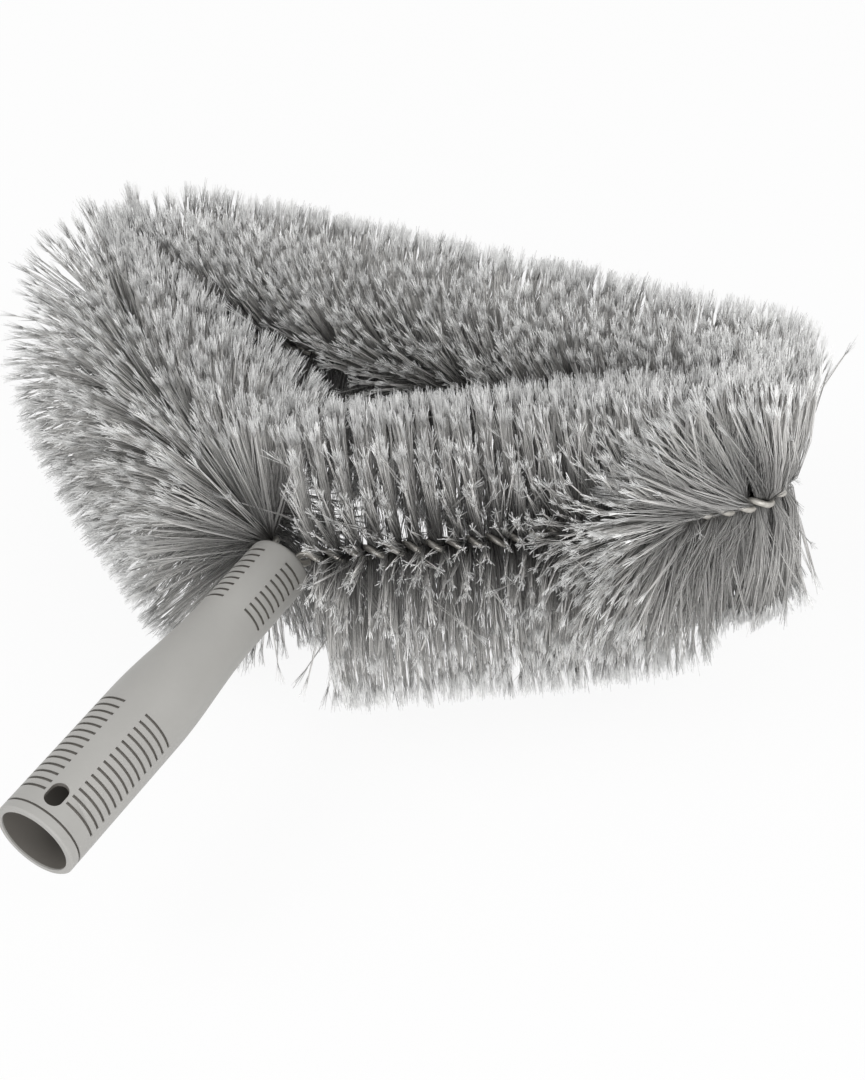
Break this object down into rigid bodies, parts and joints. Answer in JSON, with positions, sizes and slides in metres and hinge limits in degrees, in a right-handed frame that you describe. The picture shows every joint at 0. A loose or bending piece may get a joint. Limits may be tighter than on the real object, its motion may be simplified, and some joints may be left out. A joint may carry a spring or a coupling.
{
  "type": "cobweb brush",
  "caption": "Cobweb brush head: a twisted-wire bristle stem bent into a closed triangle, held in a ribbed plastic pole socket.",
  "frame": {"origin": "centre of the pole socket's open mouth, on the socket's axis", "axes": "+Y along the socket from the mouth to the brush, +X to the right corner of the bristle loop, +Z square to the loop, upwards"},
  "size_m": [0.338, 0.2989, 0.1095],
  "materials": {
    "socket_plastic": "warm light grey moulded plastic, fine matte grain",
    "plug_plastic": "plain moulded plastic",
    "stem_wire": "dull galvanised wire",
    "bristle": "grey synthetic filament with pale split tips"
  },
  "bodies": {
    "root": {"socket": "socket_plastic", "stem_plug": "plug_plastic", "wire_a": "stem_wire", "wire_b": "stem_wire", "bristles_right_arm_1": "bristle", "bristles_right_arm_2": "bristle", "bristles_right_arm_3": "bristle", "bristles_right_arm_4": "bristle", "bristles_right_arm_5": "bristle", "bristles_right_bend_1": "bristle", "bristles_right_bend_2": "bristle", "bristles_far_side_1": "bristle", "bristles_far_side_2": "bristle", "bristles_far_side_3": "bristle", "bristles_far_side_4": "bristle", "bristles_far_side_5": "bristle", "bristles_far_side_6": "bristle", "bristles_far_side_7": "bristle", "bristles_left_bend_1": "bristle", "bristles_left_bend_2": "bristle", "bristles_left_arm_1": "bristle", "bristles_left_arm_2": "bristle", "bristles_left_arm_3": "bristle", "bristles_left_arm_4": "bristle", "bristles_left_arm_5": "bristle"}
  },
  "joints": []
}
